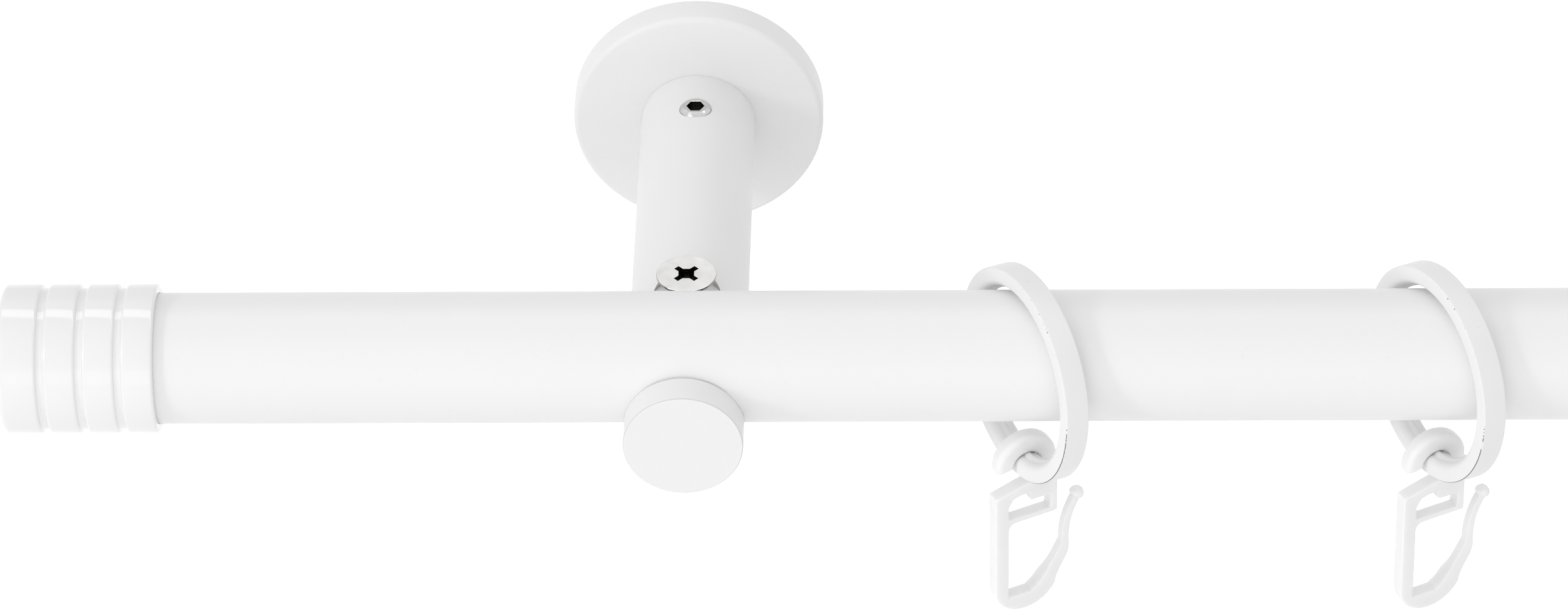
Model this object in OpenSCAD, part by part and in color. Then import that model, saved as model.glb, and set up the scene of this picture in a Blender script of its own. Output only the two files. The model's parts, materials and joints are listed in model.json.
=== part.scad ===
// Curtain rod on two wall brackets, with pull-off finials and six rings that carry clip-in hooks.
// X runs along the rod, Y points into the wall, whose face is Y = 0, and Z is up.
// The origin is the middle of the four wall screw holes, on the wall's face.

/* [Rod] */
// Outer diameter of the rod tube
rod_d = 20; // [18:0.5:22]
// Wall thickness of the rod tube
rod_wall = 1; // [0.8:0.1:1.5]
// Length of the rod tube
rod_length = 600; // [580:10:700]
// Distance from the wall's face to the rod's axis
wall_gap = 73.9; // [68:0.1:95]

/* [Bracket post] */
// Distance from each end of the rod tube to the bracket beside it
bracket_inset = 92; // [75:1:100]
// Diameter of the post
post_d = 18.2; // [17.4:0.1:20]
// Height of the rod's axis above the post's axis
rod_rise = 5.5; // [5:0.1:6.4]
// Thickness of the post's nose in front of the rod
nose_wall = 5; // [3.5:0.5:8]
// Rounding of the nose's front edge
nose_round = 0.25; // [0.2:0.05:0.8]
// Clearance between the rod and its cradle
cradle_fit = 0.05; // [0.02:0.01:0.15]

/* [Rosette] */
// Diameter of the rosette
rosette_d = 40; // [38:0.5:46]
// Depth of the rosette, from the wall to its front face
rosette_depth = 5.2; // [4.8:0.1:7]
// Thickness of the rosette's shell
rosette_wall = 1.4; // [1.1:0.1:1.6]
// Rounding of the rosette's front edge
rosette_round = 0.9; // [0.4:0.1:1]

/* [Wall plate] */
// Gap all round between the wall plate and the rosette's shell
plate_fit = 0.4; // [0.2:0.1:0.8]
// Thickness of the wall plate
plate_t = 2.5; // [2.2:0.1:3]
// Distance between the two wall screw holes in a plate
screw_hole_pitch = 24; // [22:0.5:26]
// Diameter of a wall screw hole
screw_hole_d = 4.5; // [4:0.1:5]
// Diameter of the countersink at a wall screw hole
screw_sink_d = 7.5; // [6.8:0.1:8]
// Diameter of the spigot that the post slides over
spigot_d = 12; // [11:0.1:12.6]
// Length of the spigot in front of the plate
spigot_length = 20; // [18:0.5:24]
// Diameter of the spigot's riveted tenon
tenon_d = 8; // [6:0.5:9]
// Clearance all round between the spigot and what slides over it
spigot_fit = 0.1; // [0.05:0.05:0.2]

/* [Screws] */
// Thread diameter of the clamp screw
clamp_d = 5; // [4:0.5:5]
// Head diameter of the clamp screw
clamp_head_d = 9.2; // [8.6:0.1:9.6]
// Height of the rim on the clamp screw's head
clamp_rim = 0.4; // [0.2:0.1:0.6]
// Overall length of the clamp screw
clamp_length = 16; // [12:0.5:16.5]
// Depth of the driver recess in the clamp screw
recess_depth = 2; // [1.5:0.1:2.4]
// Thickness of metal between the clamp screw's thread and the rod's cradle
clamp_web = 0.2; // [0.15:0.05:0.5]
// Diameter of the milled flat around the clamp screw
flat_d = 10.4; // [9.8:0.1:11]
// Depth of the milled flat below the top of the post
flat_depth = 1.8; // [1.6:0.1:2.4]
// Thread diameter of the set screw
set_d = 5; // [4:0.5:5]
// Distance from the rosette's front face to the set screw
set_offset = 8.9; // [7:0.1:10]
// Height by which the set screw stands out of the post
set_proud = 0.4; // [0.1:0.1:0.8]
// Width across flats of the set screw's hexagon socket
set_socket = 2.5; // [2:0.1:2.6]
// Depth of the set screw's hexagon socket
set_socket_depth = 2; // [1.4:0.1:2.2]
// Depth of the groove around the spigot for the set screw's point
set_groove = 1; // [0.6:0.1:1.2]
// Clearance all round in a threaded hole
thread_fit = 0.05; // [0.02:0.01:0.1]

/* [Finials] */
// Diameter of a finial
finial_d = 22.8; // [22.6:0.1:26]
// Width of the finial's outermost band
finial_end_band = 5.9; // [4.5:0.1:8]
// Width of each further band
finial_band = 4.75; // [4:0.05:6]
// Width of the grooves between the bands
groove_w = 1.15; // [0.8:0.05:1.6]
// Depth of the grooves between the bands
groove_depth = 0.55; // [0.3:0.05:0.8]
// Rounding of the bands' shoulders
shoulder_round = 0.45; // [0.1:0.05:0.5]
// Rounding of the finial's outer end
finial_round = 0.9; // [0.5:0.1:1.6]
// Length of tube that a finial covers
finial_grip = 12; // [8:0.1:14]
// Clearance all round between the rod tube and a finial
finial_fit = 0.1; // [0.05:0.05:0.15]
// Wall thickness of a finial's inner plug and of its end
finial_wall = 1.6; // [1.2:0.1:2.4]
// Length of the plug beyond the finial's mouth
plug_lead = 6; // [2:0.5:12]
// Number of gripping ribs along the plug
plug_ribs = 6; // [3:1:8]
// Width of a gripping rib
plug_rib_w = 1; // [0.6:0.1:1.6]

/* [Rings] */
// Distance from each bracket to the ring nearest to it
ring_inset = 51.6; // [44:0.1:56]
// Difference between a ring's bore and the rod's diameter
ring_play = 8; // [7.8:0.1:9]
// Thickness of a ring across its section, from bore to outside
ring_wall = 3; // [2.8:0.1:3.6]
// Width of a ring along its axis
ring_width = 3.9; // [3.2:0.1:4]
// Rounding of a ring's outer edges
ring_round = 0.3; // [0.15:0.05:0.6]
// Rounding of the edges of a ring's bore
bore_round = 1.2; // [1:0.05:1.4]
// Angle by which a resting ring is turned about the vertical
ring_turn = 27.5; // [0:0.5:28]
// Angle by which a resting ring leans along the rod
ring_lean = 3.3; // [0:0.1:3.4]
// Gap over the rod in a ring that rests turned, with its bore close to the rod's shoulders
ring_gap = 0.65; // [0.6:0.05:0.9]

/* [Hooks] */
// Clearance between a ring's section and the clip around it
clip_fit = 0.2; // [0.15:0.05:0.4]
// Distance along a ring from its lowest point to the hook that hangs on it
hook_shift = 1.5; // [0:0.1:2]
// Thickness of the clip's plump arm
clip_wall = 2.7; // [2:0.1:2.8]
// Width of the clip along the ring
clip_width = 2.8; // [2.4:0.1:3.4]
// Rounding of the clip's arm
clip_round = 0.6; // [0.4:0.1:1]
// Thickness of the hook's frame
frame_t = 2.4; // [1.6:0.1:3]
// Thickness of the crossbar
crossbar_t = 1.2; // [0.8:0.1:2]
// Height of the crossbar
crossbar_h = 1.2; // [0.8:0.1:1.6]
// Distance from the clip's centre down to the middle of the crossbar
crossbar_drop = 10.5; // [10:0.1:12]
// Distance from the clip's centre out to the outside of the back leg
back_x = 5.4; // [5.1:0.1:6.5]
// Width of the back leg
back_w = 2.3; // [1.8:0.1:2.8]
// Distance from the clip's centre down to the foot of the hook
hook_drop = 28.6; // [26.5:0.1:32.5]
// Height of the foot bar
foot_h = 2.9; // [2:0.1:3.4]
// Distance from the clip's centre out to the flange
flange_x = 5.3; // [4.7:0.1:5.4]
// Width of the flange
flange_w = 1.2; // [1:0.1:1.6]
// Thickness of the sprung free leg
spring_t = 1.4; // [1:0.1:2]
// Width of the free leg at its waist
spring_w = 1.25; // [1.1:0.05:1.6]
// Diameter of the knob on the free leg
knob_d = 2.6; // [2:0.1:3]

/* [Hidden] */
$fn = 96;

paint = [0.93, 0.93, 0.93];
zinc = [0.74, 0.75, 0.77];
plastic = [0.88, 0.89, 0.89];

left = -1;
right = 1;
ring_count = 6;
// A cut runs this far past the face that it opens
cut = 1;

// Rod and brackets
rod_r = rod_d / 2;
bracket_x = rod_length / 2 - bracket_inset;
post_r = post_d / 2;
cradle_r = rod_r + cradle_fit;
post_front = wall_gap + cradle_r + nose_wall;
plate_r = rosette_d / 2 - rosette_wall - plate_fit;
spigot_end = plate_t + spigot_length;
set_y = rosette_depth + set_offset;
// Space left between the end of the spigot and the bottom of its bore
bore_end_gap = 1;

// The clamp screw stands just behind the rod, and the lower edge of its rim bears on the tube.
clamp_hole_r = clamp_d / 2 + thread_fit;
clamp_back = cradle_r + clamp_web + clamp_hole_r;
clamp_reach = clamp_back - clamp_head_d / 2;
clamp_bite_gap = 0.03;
clamp_top = rod_rise + sqrt(pow(rod_r + clamp_bite_gap, 2) - pow(clamp_reach, 2)) + clamp_rim;
clamp_tip_round = 0.6;
// Wings of the driver recess
recess_span = 4.7;
recess_wing = 1;
recess_core = 2.6;

// Finials
finial_r = finial_d / 2;
finial_length = finial_end_band + 3 * (groove_w + finial_band);
finial_slot_gap = 0.2;
rib_h = 0.35;
plug_r = rod_r - rod_wall - finial_fit - rib_h;

// Rings hang in a row between the brackets
ring_pitch = (2 * bracket_x - 2 * ring_inset) / (ring_count - 1);
ring_bore_r = rod_r + ring_play / 2;
ring_outer_r = ring_bore_r + ring_wall;
ring_mid_r = ring_bore_r + ring_wall / 2;
ring_drop = ring_bore_r - rod_r - ring_gap;
ring_z = rod_rise - ring_drop;
function ring_x(i) = -bracket_x + ring_inset + (i - 1) * ring_pitch;

// The clip's bore clears the outer corners of the ring's section at every swing
clip_r = norm([ring_width, ring_wall]) / 2 - ring_round * (sqrt(2) - 1) + clip_fit;
clip_mid_r = clip_r + clip_wall / 2;
clip_outer_r = clip_r + clip_wall;
clip_from = -35;
clip_to = 186;
head_low = -0.6;
// Shoulders of the hook's frame, measured from the clip's centre
shoulder_y = -5.46;
shoulder_rise = 0.6;
neck_y = -4.36;
neck_x = -1.4;
neck_gap = 0.3;
seat_gap = 0.1;
// Arched window under the neck, with a tab that hangs into it beside the flange
window_top = -6;
window_flat = 1.4;
window_arch = 2.7;
arch_drop = 0.4;
arch_foot = 1.7;
arch_base = 4;
tab_y = -7.5;
tab_x = 0.4;
tab_bevel = 0.5;
// Foot and its two rounded corners
foot_x = -0.3;
foot_r = 6;
foot_corner_r = 5.05;
foot_to = 335;
foot_land = 1.75;
foot_in_x = 1.97;
// Free leg: root, waist and knob, as distances from the back leg's side and from the foot
spring_root = [3.27, 2.8];
spring_waist = [6.87, 11.9];
spring_knob = [9.2, 18.75];
spring_root_w = 2.7;
root_pull = [2, 2.2];
waist_pull = [0.05, 3];
waist_lift = [0.05, 3.2];
knob_pull = [1.7, 2.2];

function arc(c, r, a, b, n = 12) = [for (i = [0:n]) c + r * [cos(a + (b - a) * i / n), sin(a + (b - a) * i / n)]];

function bezier(p, t) =
    pow(1 - t, 3) * p[0] + 3 * t * pow(1 - t, 2) * p[1] + 3 * t * t * (1 - t) * p[2] + pow(t, 3) * p[3];

// Rectangle from a corner at [0, 0], with chosen radii on its four corners
module soft_rect(w, h, r) {
    translate([r, 0]) square([w - 2 * r, h]);
    translate([0, r]) square([w, h - 2 * r]);
    for (x = [r, w - r], y = [r, h - r]) translate([x, y]) circle(r, $fn = 32);
}

// Points +Z of what follows towards the room
module towards_room() rotate([90, 0, 0]) children();

module at_bracket(side) translate([side * bracket_x, 0, 0]) children();

module rod() {
    color(paint)
    translate([-rod_length / 2, -wall_gap, rod_rise]) rotate([0, 90, 0]) difference() {
        cylinder(h = rod_length, r = rod_r);
        translate([0, 0, -cut]) cylinder(h = rod_length + 2 * cut, r = rod_r - rod_wall);
    }
}

// Disc against the wall, with two countersunk screw holes and a seat for the spigot's tenon
module wall_plate(side) {
    hole_r = screw_hole_d / 2;
    sink_r = screw_sink_d / 2;
    color(zinc)
    at_bracket(side) difference() {
        towards_room() cylinder(h = plate_t, r = plate_r);
        towards_room() translate([0, 0, -cut]) cylinder(h = plate_t + 2 * cut, r = tenon_d / 2 + thread_fit);
        for (z = [-1, 1] * screw_hole_pitch / 2) translate([0, 0, z]) towards_room() {
            translate([0, 0, -cut]) cylinder(h = plate_t + 2 * cut, r = hole_r);
            translate([0, 0, plate_t - (sink_r - hole_r)])
                cylinder(h = sink_r - hole_r + cut, r1 = hole_r, r2 = sink_r + cut);
        }
    }
}

// Turned stud riveted into the plate, with a vee groove for the set screw's point
module spigot(side) {
    r = spigot_d / 2;
    lead = 0.8;
    color(zinc)
    at_bracket(side) towards_room() rotate_extrude() polygon([
        [0, 0], [tenon_d / 2, 0], [tenon_d / 2, plate_t], [r, plate_t],
        [r, set_y - set_groove], [r - set_groove, set_y], [r, set_y + set_groove],
        [r, spigot_end - lead], [r - lead, spigot_end], [0, spigot_end]
    ]);
}

// Shallow cup that hides the plate; the post presses it against the wall
module rosette(side) {
    r = rosette_d / 2;
    color(paint)
    at_bracket(side) towards_room() rotate_extrude() difference() {
        union() {
            square([r, rosette_depth - rosette_round]);
            square([r - rosette_round, rosette_depth]);
            translate([r - rosette_round, rosette_depth - rosette_round]) circle(rosette_round, $fn = 32);
        }
        translate([-cut, -cut]) square([r - rosette_wall + cut, rosette_depth - rosette_wall + cut]);
        translate([-cut, 0]) square([spigot_d / 2 + spigot_fit + cut, rosette_depth + cut]);
    }
}

// Round bar with a blind bore for the spigot, an open cradle for the rod and the two screw holes
module post(side) {
    length = post_front - rosette_depth;
    bore_depth = spigot_end + bore_end_gap - rosette_depth;
    color(paint)
    at_bracket(side) difference() {
        translate([0, -rosette_depth, 0]) towards_room() rotate_extrude() {
            square([post_r, length - nose_round]);
            square([post_r - nose_round, length]);
            translate([post_r - nose_round, length - nose_round]) circle(nose_round, $fn = 32);
        }
        translate([0, cut - rosette_depth, 0]) towards_room()
            cylinder(h = bore_depth + cut, r = spigot_d / 2 + spigot_fit);
        // Cradle: round below the rod's axis, straight above it
        translate([-post_d, -wall_gap, rod_rise]) {
            rotate([0, 90, 0]) cylinder(h = 2 * post_d, r = cradle_r);
            translate([0, -cradle_r, 0]) cube([2 * post_d, 2 * cradle_r, post_d]);
        }
        translate([0, clamp_back - wall_gap, 0]) {
            translate([0, 0, clamp_top - clamp_length - bore_end_gap]) cylinder(h = 2 * post_d, r = clamp_hole_r);
            translate([0, 0, post_r - flat_depth]) cylinder(h = post_d, r = flat_d / 2);
        }
        translate([0, -set_y, 0]) cylinder(h = post_d, r = set_d / 2 + thread_fit);
    }
}

// Countersunk screw whose head wedges the rod into its cradle
module clamp_screw(side) {
    r = clamp_d / 2;
    head_r = clamp_head_d / 2;
    color(zinc)
    at_bracket(side) translate([0, clamp_back - wall_gap, clamp_top - clamp_length]) difference() {
        rotate_extrude() polygon([
            [0, 0], [r - clamp_tip_round, 0], [r, clamp_tip_round],
            [r, clamp_length - clamp_rim - (head_r - r)],
            [head_r, clamp_length - clamp_rim], [head_r, clamp_length], [0, clamp_length]
        ]);
        translate([0, 0, clamp_length - recess_depth]) rotate([0, 0, 45]) linear_extrude(recess_depth + cut) {
            square([recess_span, recess_wing], center = true);
            square([recess_wing, recess_span], center = true);
            circle(recess_core / 2);
        }
    }
}

// Headless screw whose cone point stands in the spigot's groove
module set_screw(side) {
    r = set_d / 2;
    point_r = 0.4;
    rim = 0.5;
    bottom = spigot_d / 2 - set_groove + point_r + 2 * thread_fit;
    top = post_r + set_proud;
    color(zinc)
    at_bracket(side) translate([0, -set_y, 0]) difference() {
        rotate_extrude() polygon([
            [0, bottom], [point_r, bottom], [r, bottom + r - point_r],
            [r, top - rim], [r - rim, top], [0, top]
        ]);
        translate([0, 0, top - set_socket_depth])
            cylinder(h = set_socket_depth + cut, r = set_socket / 2 / cos(30), $fn = 6);
    }
}

// One band of a finial, in the plane of its revolve: x is the radius, y runs inwards from the end
module finial_band_outline(start, w, low_round, high_round) {
    translate([0, start]) {
        translate([0, low_round]) square([finial_r, w - low_round - high_round]);
        for (corner = [[low_round, low_round], [high_round, w - high_round]]) {
            translate([0, corner[1] - corner[0]]) square([finial_r - corner[0], 2 * corner[0]]);
            translate([finial_r - corner[0], corner[1]]) circle(corner[0], $fn = 48);
        }
    }
}

// Banded end cap: its ring-shaped slot takes the tube, and its ribbed plug grips inside it
module finial(side) {
    slot_start = finial_length - finial_grip - finial_slot_gap;
    outer_end = rod_length / 2 - finial_grip + finial_length;
    plug_end = finial_length + plug_lead;
    color(paint)
    translate([side * outer_end, -wall_gap, rod_rise]) rotate([0, -90 * side, 0]) {
        rotate_extrude() {
            difference() {
                union() {
                    translate([0, finial_round])
                        square([finial_r - groove_depth, finial_length - finial_round - shoulder_round]);
                    finial_band_outline(0, finial_end_band, finial_round, shoulder_round);
                    for (i = [0:2])
                        finial_band_outline(finial_end_band + groove_w + i * (finial_band + groove_w),
                            finial_band, shoulder_round, shoulder_round);
                }
                translate([plug_r, slot_start]) square([rod_r + finial_fit - plug_r, finial_length]);
                translate([-cut, finial_wall]) square([plug_r - finial_wall + cut, finial_length]);
            }
            translate([plug_r - finial_wall, slot_start - cut]) square([finial_wall, plug_end - slot_start + cut]);
        }
        for (i = [0:plug_ribs - 1]) rotate([0, 0, i * 360 / plug_ribs])
            translate([plug_r - rib_h, -plug_rib_w / 2, slot_start - cut])
                cube([2 * rib_h, plug_rib_w, finial_grip + cut]);
    }
}

// Carries its children to a ring's centre, turned with the ring about the vertical
module at_ring(i) translate([ring_x(i), -wall_gap, ring_z]) rotate([0, 0, ring_turn]) children();

module ring(i) {
    color(paint)
    at_ring(i) rotate([0, ring_lean + 90, 0]) rotate_extrude()
        translate([ring_bore_r, -ring_width / 2]) ring_section();
}

// Section of a ring, with its bore at the left
module ring_section() {
    flat = ring_wall - ring_round;
    translate([bore_round, 0]) square([flat - bore_round, ring_width]);
    translate([bore_round, ring_round]) square([ring_wall - bore_round, ring_width - 2 * ring_round]);
    translate([0, bore_round]) square([bore_round + cut / 2, ring_width - 2 * bore_round]);
    for (y = [bore_round, ring_width - bore_round]) translate([bore_round, y]) circle(bore_round);
    for (y = [ring_round, ring_width - ring_round]) translate([flat, y]) circle(ring_round);
}

// Back leg, foot and shoulders of the hook; x runs away from the back leg, y up
module frame_outline() {
    back_in = back_w - back_x;
    foot_c = [foot_x, foot_r - hook_drop];
    corner_c = [foot_corner_r - back_x, foot_corner_r - hook_drop];
    foot_in = foot_h - hook_drop;
    crossbar_low = -crossbar_drop - crossbar_h / 2;
    flange_in = flange_x - flange_w;
    // Back leg and foot
    polygon(concat(
        [[-back_x, shoulder_y]],
        arc(corner_c, foot_corner_r, 180, 270),
        arc(foot_c, foot_r, 270, foot_to),
        [foot_c + (foot_r - foot_land) * [cos(foot_to), sin(foot_to)], [foot_in_x, foot_in], [back_in, foot_in],
         [back_in, shoulder_y]]
    ));
    // Shoulders, neck and flange
    polygon([
        [-back_x, shoulder_y], [neck_x, neck_y], [clip_r + neck_gap, neck_y + 1],
        [clip_r + seat_gap, head_low], [flange_x, head_low],
        [flange_x, shoulder_y + shoulder_rise], [flange_x, crossbar_low],
        [flange_in, crossbar_low], [flange_in, tab_y], [tab_x + tab_bevel, tab_y],
        [tab_x, tab_y + tab_bevel], [tab_x, window_top], [tab_x - window_flat, window_top],
        [tab_x - window_arch, window_top - arch_drop], [back_in, window_top - arch_foot],
        [back_in, window_top - arch_base], [-back_x, window_top - arch_base]
    ]);
}

// Centre line of the free leg: from the foot out to its waist, then out to the knob
function spring_line() = let (
    root = spring_root - [0, hook_drop], waist = spring_waist - [0, hook_drop], knob = spring_knob - [0, hook_drop]
) concat(
    [for (i = [0:7]) bezier([root, root + root_pull, waist - waist_pull, waist], i / 8)],
    [for (i = [0:8]) bezier([waist, waist + waist_lift, knob - knob_pull, knob], i / 8)]
);

// Band of changing width along a line of points
module ribbon(line, widths) {
    n = len(line) - 1;
    side = [for (i = [0:n])
        let (d = line[min(i + 1, n)] - line[max(i - 1, 0)]) widths[i] / 2 * [-d[1], d[0]] / norm(d)];
    polygon(concat([for (i = [0:n]) line[i] + side[i]], [for (i = [n:-1:0]) line[i] - side[i]]));
}

// Clip that closes round the ring from above, open below on the side of the back leg
module clip() {
    rotate([0, 0, clip_from]) rotate_extrude(angle = clip_to - clip_from)
        translate([clip_r, -clip_width / 2]) soft_rect(clip_wall, clip_width, clip_round);
}

// One moulding: clip around the ring, slotted frame and sprung leg for the curtain's tape
module hook(i) {
    line = spring_line();
    steps = len(line) - 1;
    widths = [for (k = [0:steps]) spring_w + max(0, spring_root_w - spring_w) * pow(max(0, 1 - 2 * k / steps), 2)];
    below = sqrt(ring_mid_r * ring_mid_r - hook_shift * hook_shift);
    pivot = [-below * sin(ring_lean), -hook_shift, -below * cos(ring_lean)];
    crossbar_x = back_w / 2 - back_x;
    color(plastic)
    at_ring(i) translate(pivot) rotate([90, 0, 0]) {
        clip();
        linear_extrude(frame_t, center = true) frame_outline();
        linear_extrude(crossbar_t, center = true) translate([crossbar_x, -crossbar_drop - crossbar_h / 2])
            square([flange_x - flange_w / 2 - crossbar_x, crossbar_h]);
        linear_extrude(spring_t, center = true) ribbon(line, widths);
        translate(line[steps]) sphere(d = knob_d, $fn = 48);
    }
}

rod();
finial(left);  // finial_left
finial(right);  // finial_right
wall_plate(left);  // wall_plate_left
wall_plate(right);  // wall_plate_right
spigot(left);  // spigot_left
spigot(right);  // spigot_right
rosette(left);  // rosette_left
rosette(right);  // rosette_right
post(left);  // post_left
post(right);  // post_right
clamp_screw(left);  // clamp_screw_left
clamp_screw(right);  // clamp_screw_right
set_screw(left);  // set_screw_left
set_screw(right);  // set_screw_right
ring(1);  // ring_1
ring(2);  // ring_2
ring(3);  // ring_3
ring(4);  // ring_4
ring(5);  // ring_5
ring(6);  // ring_6
hook(1);  // hook_1
hook(2);  // hook_2
hook(3);  // hook_3
hook(4);  // hook_4
hook(5);  // hook_5
hook(6);  // hook_6
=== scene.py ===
"""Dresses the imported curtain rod: coated tube and brackets, moulded finials, painted rings, milky clip-on hooks.

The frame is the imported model's own: X runs along the rod, Y points into the wall and Z is up. Sizes in the classes
are in millimetres, and everything that reaches Blender is in metres.
"""

import json
import logging
from dataclasses import dataclass
from enum import Enum
from math import atan2, cos, degrees, pi, radians, sin, sqrt, tan, tau
from typing import Sequence

import bmesh
import bpy
from bpy.types import ID, Material, Node, NodeSocket, NodeTree, Object
from mathutils import Matrix, Vector

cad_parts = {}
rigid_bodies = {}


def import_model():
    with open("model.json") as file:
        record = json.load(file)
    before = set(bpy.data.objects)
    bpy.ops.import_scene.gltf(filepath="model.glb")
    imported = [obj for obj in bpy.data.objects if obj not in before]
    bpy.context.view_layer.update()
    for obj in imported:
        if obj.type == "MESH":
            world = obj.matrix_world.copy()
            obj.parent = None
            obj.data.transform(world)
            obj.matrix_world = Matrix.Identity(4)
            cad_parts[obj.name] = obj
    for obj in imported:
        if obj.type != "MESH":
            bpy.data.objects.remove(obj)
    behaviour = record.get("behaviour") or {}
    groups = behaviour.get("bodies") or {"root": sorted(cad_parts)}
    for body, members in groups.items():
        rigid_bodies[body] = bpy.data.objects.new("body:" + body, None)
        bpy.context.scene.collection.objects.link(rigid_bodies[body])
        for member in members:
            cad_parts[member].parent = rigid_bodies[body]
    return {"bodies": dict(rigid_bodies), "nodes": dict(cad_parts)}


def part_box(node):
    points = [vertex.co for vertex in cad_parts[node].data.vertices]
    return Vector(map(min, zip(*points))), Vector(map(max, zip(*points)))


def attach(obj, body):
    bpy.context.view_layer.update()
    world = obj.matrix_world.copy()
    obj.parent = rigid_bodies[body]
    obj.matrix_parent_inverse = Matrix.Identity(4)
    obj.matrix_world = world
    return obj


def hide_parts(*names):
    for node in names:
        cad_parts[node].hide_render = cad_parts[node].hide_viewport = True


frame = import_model()

LOG = logging.getLogger("curtain_rod")
MM = 0.001

Point = tuple[float, float]
Triple = tuple[float, float, float]


class Side(Enum):
    """The two ends of the rod, with the sign of X at each."""

    LEFT = -1
    RIGHT = 1

    @property
    def word(self) -> str:
        """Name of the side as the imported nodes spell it."""
        return self.name.lower()


class Cut(Enum):
    """How a tool changes the shape that it meets."""

    REMOVE = "DIFFERENCE"
    ADD = "UNION"


# Mesh making


def turned(angle: float, axis: str, size: int = 4) -> Matrix:
    """A turn about an axis by an angle in degrees, as a matrix of a size."""
    return Matrix.Rotation(radians(angle), size, axis)


def add_object(name: str, data: ID) -> Object:
    """Puts a mesh, a light or a camera into the scene, as an object at the origin."""
    obj = bpy.data.objects.new(name, data)
    bpy.context.scene.collection.objects.link(obj)
    return obj


def shape(name: str, bm: bmesh.types.BMesh) -> Object:
    """Ends a mesh under construction, with its faces outwards, as a new object."""
    bmesh.ops.recalc_face_normals(bm, faces=bm.faces)
    mesh = bpy.data.meshes.new(name)
    bm.to_mesh(mesh)
    bm.free()
    return add_object(name, mesh)


def band(bm: bmesh.types.BMesh, here: list[bmesh.types.BMVert], there: list[bmesh.types.BMVert]) -> None:
    """Joins two loops of points by faces."""
    for index in range(len(here)):
        after = (index + 1) % len(here)
        bm.faces.new([here[index], here[after], there[after], there[index]])


def discard(obj: Object) -> None:
    """Removes a helper object."""
    bpy.data.objects.remove(obj, do_unlink=True)


def settle(obj: Object) -> Object:
    """Turns an object's modifiers into plain mesh and gives the object back."""
    bpy.context.view_layer.update()
    depsgraph = bpy.context.evaluated_depsgraph_get()
    mesh = bpy.data.meshes.new_from_object(obj.evaluated_get(depsgraph), depsgraph=depsgraph)
    obj.modifiers.clear()
    obj.data = mesh
    return obj


def shade(obj: Object, angle: float = 32.0) -> Object:
    """Shades an object smooth, apart from edges sharper than an angle.

    Args:
        obj: Object with a plain mesh.
        angle: Smallest turn between two faces that stays sharp, in degrees.

    Returns:
        The same object.
    """
    obj.data.shade_smooth()
    obj.data.set_sharp_from_angle(angle=radians(angle))
    return obj


def flatten(obj: Object) -> Object:
    """Weights an object's normals by its faces, so that small roundings don't bend the light on large faces."""
    modifier = obj.modifiers.new("normals", "WEIGHTED_NORMAL")
    modifier.keep_sharp, modifier.weight = True, 100
    return settle(obj)


def weld(obj: Object, distance: float = 0.002) -> Object:
    """Joins an object's points closer than a distance in millimetres, and closes what that leaves open."""
    mesh = bmesh.new()
    mesh.from_mesh(obj.data)
    bmesh.ops.remove_doubles(mesh, verts=mesh.verts, dist=distance * MM)
    bmesh.ops.dissolve_degenerate(mesh, edges=mesh.edges, dist=distance * MM)
    bmesh.ops.holes_fill(mesh, edges=mesh.edges, sides=0)
    bmesh.ops.recalc_face_normals(mesh, faces=mesh.faces)
    mesh.to_mesh(obj.data)
    mesh.free()
    return obj


def bevel(obj: Object, width: float, angle: float = 40.0) -> Object:
    """Rounds an object's sharp edges, in two steps.

    Args:
        obj: Object with a plain mesh.
        width: Width of the rounding, in millimetres.
        angle: Smallest turn between two faces that is rounded, in degrees.

    Returns:
        The same object, with the rounding in its mesh.
    """
    modifier = obj.modifiers.new("rounding", "BEVEL")
    modifier.width = width * MM
    modifier.segments = 2
    modifier.limit_method = "ANGLE"
    modifier.angle_limit = radians(angle)
    return settle(obj)


def combine(target: Object, tool: Object, cut: Cut = Cut.REMOVE) -> Object:
    """Cuts a tool out of a shape, or joins it on, and removes the tool.

    Args:
        target: Shape to change.
        tool: Closed shape that cuts or joins.
        cut: Which of the two happens.

    Returns:
        The changed shape.
    """
    modifier = target.modifiers.new("tool", "BOOLEAN")
    modifier.operation = cut.value
    modifier.solver = "EXACT"
    modifier.object = tool
    settle(target)
    discard(tool)
    return target


def rounded(corners: Sequence[Triple], steps: int = 5) -> list[Point]:
    """Replaces the corners of an outline by arcs.

    Args:
        corners: Corners in order, each with its radius; a radius of 0 keeps the corner.
        steps: Steps along each arc.

    Returns:
        The points of the rounded outline, in the same order.
    """
    points: list[Point] = []
    for index, (x, y, radius) in enumerate(corners):
        corner = Vector((x, y))
        if radius <= 0:
            points.append((x, y))
            continue
        to_last = (Vector(corners[index - 1][:2]) - corner).normalized()
        to_next = (Vector(corners[(index + 1) % len(corners)][:2]) - corner).normalized()
        half = to_last.angle(to_next) / 2
        centre = corner + (to_last + to_next).normalized() * (radius / sin(half))
        first = corner + to_last * (radius / tan(half)) - centre
        last = corner + to_next * (radius / tan(half)) - centre
        start = atan2(first.y, first.x)
        reach = (atan2(last.y, last.x) - start + pi) % tau - pi
        for step in range(steps + 1):
            turn = start + reach * step / steps
            points.append((centre.x + radius * cos(turn), centre.y + radius * sin(turn)))
    return points


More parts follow.
